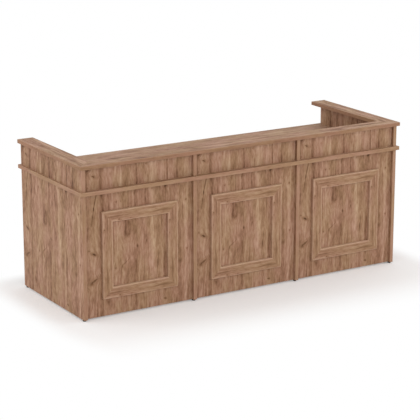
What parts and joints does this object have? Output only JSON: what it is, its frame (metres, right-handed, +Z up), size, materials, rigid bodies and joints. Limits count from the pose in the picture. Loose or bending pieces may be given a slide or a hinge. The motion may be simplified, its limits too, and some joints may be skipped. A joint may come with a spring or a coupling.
{
  "type": "judges table",
  "caption": "Judges table in oak board: desk with panelled front and raised screen on front and sides, open knee spaces behind.",
  "frame": {"origin": "on the floor under the middle of the desk top", "axes": "+X along the table's length, to the right of a person who faces the panelled front; -Y towards the panelled front; +Z up, with the desk top's upper face at z = 0.75 m"},
  "size_m": [2.19, 0.8, 0.9],
  "materials": {
    "oak_board": "matt oak-grain laminate on board",
    "oak_banding": "matt oak-grain edge banding",
    "oak_moulding": "matt oak-grain wrapped moulding",
    "beech": "plain beech, unfinished",
    "black_plastic": "moulded black plastic",
    "brown_plastic": "moulded brown plastic",
    "zinc": "die-cast zinc",
    "steel": "zinc-plated steel"
  },
  "bodies": {
    "root": {"side_panel_left": "oak_board", "side_panel_right": "oak_board", "partition_left": "oak_board", "partition_right": "oak_board", "front_panel_left": "oak_board", "front_panel_centre": "oak_board", "front_panel_right": "oak_board", "desk_top": "oak_board", "screen_panel_left": "oak_board", "screen_panel_centre": "oak_board", "screen_panel_right": "oak_board", "screen_post_left": "oak_board", "screen_post_right": "oak_board", "wing_left": "oak_board", "wing_right": "oak_board", "cap_front": "oak_board", "cap_left": "oak_board", "cap_right": "oak_board", "side_panel_left_edging": "oak_banding", "side_panel_right_edging": "oak_banding", "partition_left_edging": "oak_banding", "partition_right_edging": "oak_banding", "screen_post_left_edging": "oak_banding", "screen_post_right_edging": "oak_banding", "wing_left_edging": "oak_banding", "wing_right_edging": "oak_banding", "desk_top_edging": "oak_banding", "cap_front_edging": "oak_banding", "cap_left_edging": "oak_banding", "cap_right_edging": "oak_banding", "moulding_left_top_rail": "oak_moulding", "moulding_left_bottom_rail": "oak_moulding", "moulding_left_left_stile": "oak_moulding", "moulding_left_right_stile": "oak_moulding", "moulding_centre_top_rail": "oak_moulding", "moulding_centre_bottom_rail": "oak_moulding", "moulding_centre_left_stile": "oak_moulding", "moulding_centre_right_stile": "oak_moulding", "moulding_right_top_rail": "oak_moulding", "moulding_right_bottom_rail": "oak_moulding", "moulding_right_left_stile": "oak_moulding", "moulding_right_right_stile": "oak_moulding", "glide_side_left_front": "black_plastic", "glide_side_left_back": "black_plastic", "glide_partition_left_front": "black_plastic", "glide_partition_left_back": "black_plastic", "glide_partition_right_front": "black_plastic", "glide_partition_right_back": "black_plastic", "glide_side_right_front": "black_plastic", "glide_side_right_back": "black_plastic", "glide_nails": "steel", "cam_housings": "zinc", "cam_bolts": "steel", "cam_covers": "brown_plastic", "dowels": "beech", "cap_biscuits": "beech", "moulding_screws": "steel"}
  },
  "joints": []
}
